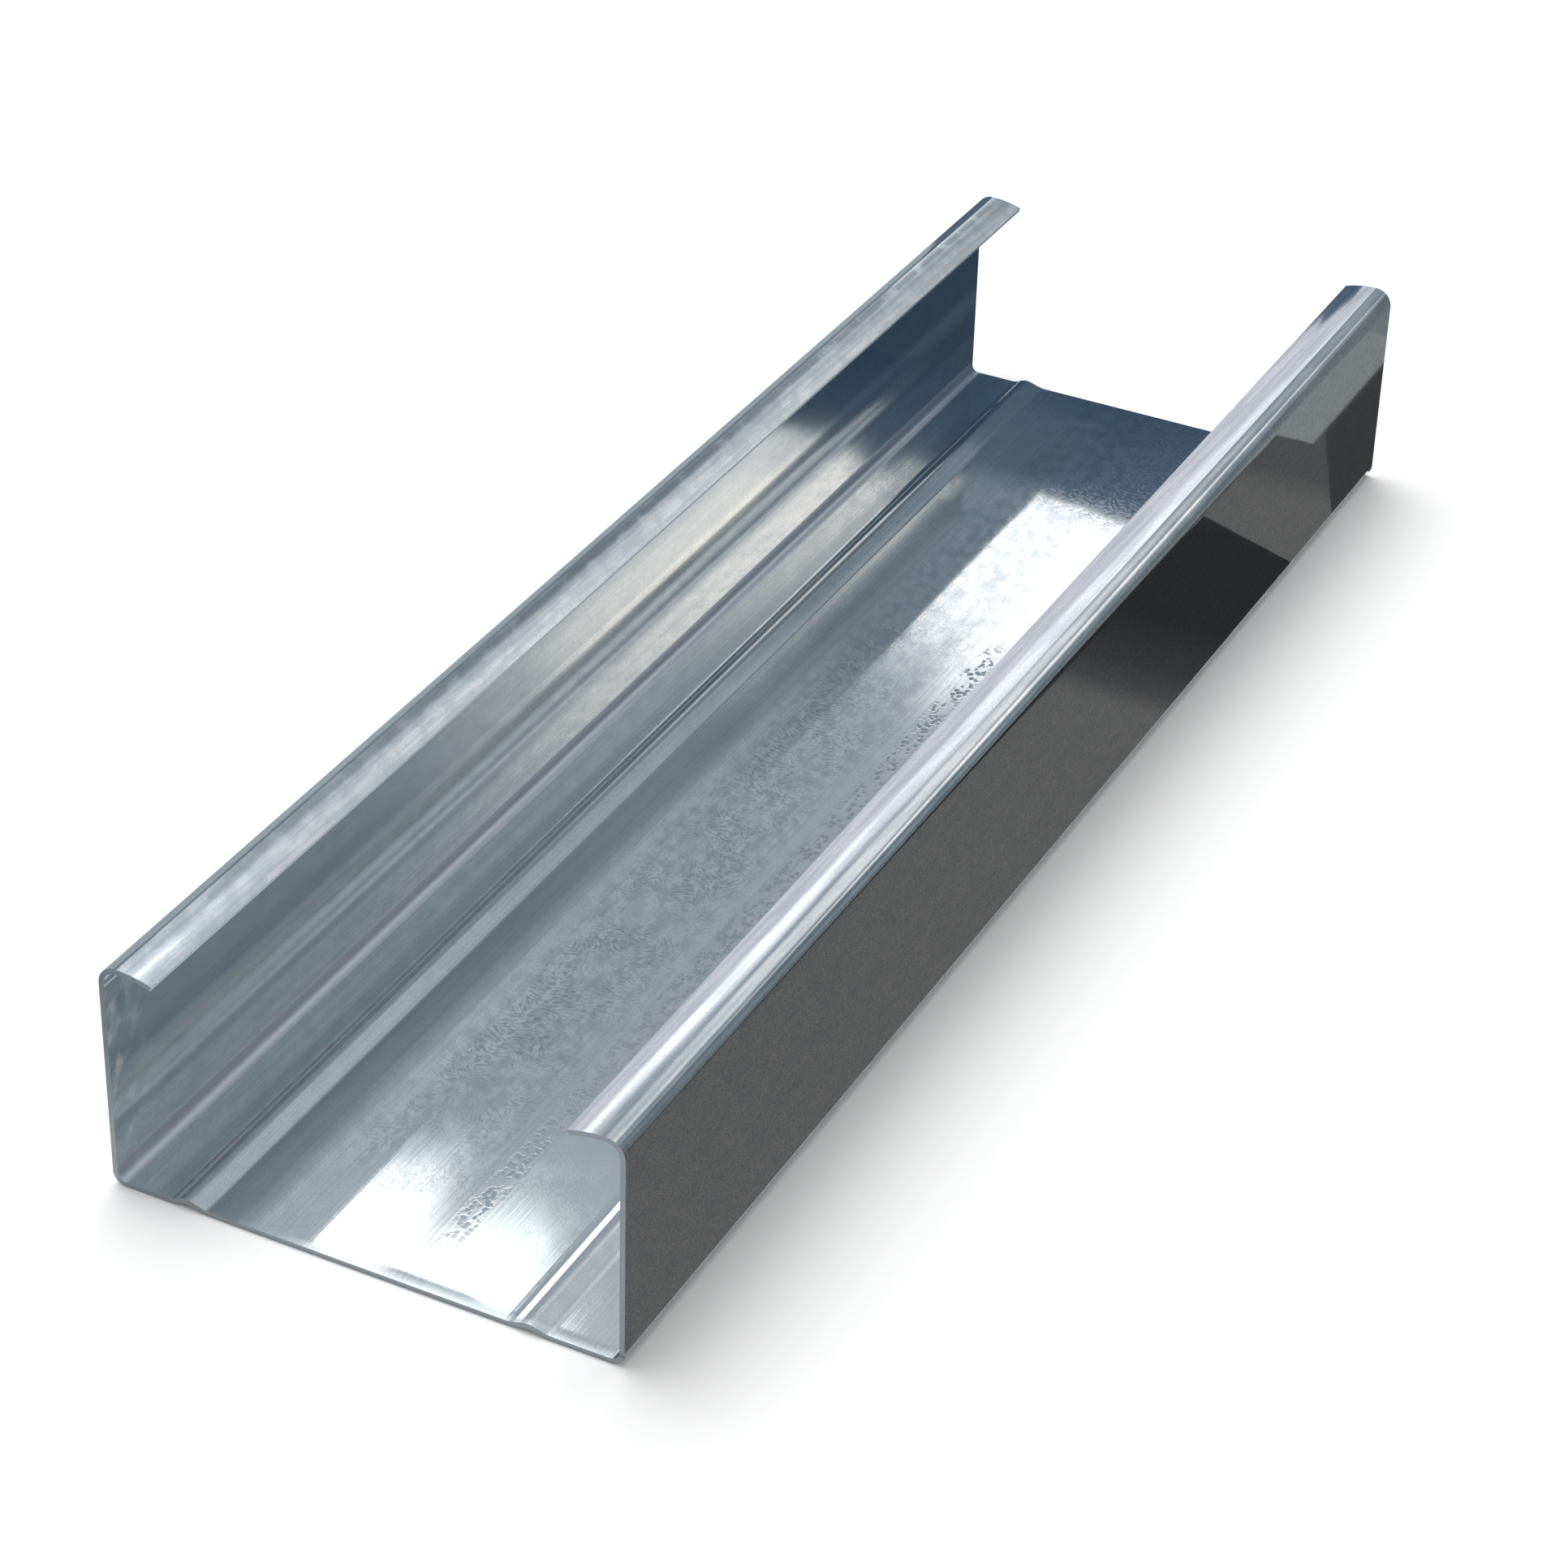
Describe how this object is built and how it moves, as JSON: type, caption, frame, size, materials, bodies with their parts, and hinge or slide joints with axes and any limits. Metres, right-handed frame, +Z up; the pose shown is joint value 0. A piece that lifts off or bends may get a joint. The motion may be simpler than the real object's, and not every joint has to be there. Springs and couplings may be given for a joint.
{
  "type": "c-purlin",
  "caption": "Short square-cut length of light-gauge lipped C section in zinc-coated sheet steel, with stiffening ribs in its web.",
  "frame": {"origin": "middle of the underside of the web, where the section rests on the floor", "axes": "+Y along the length, +X across the web, +Z up out of the open side of the channel"},
  "size_m": [0.075, 0.26, 0.0345],
  "materials": {
    "zinc_coated_steel": "bright hot-dip zinc coating with fine spangle, semi-gloss, mirror-like at shallow angles"
  },
  "bodies": {
    "root": {"c_purlin": "zinc_coated_steel"}
  },
  "joints": []
}
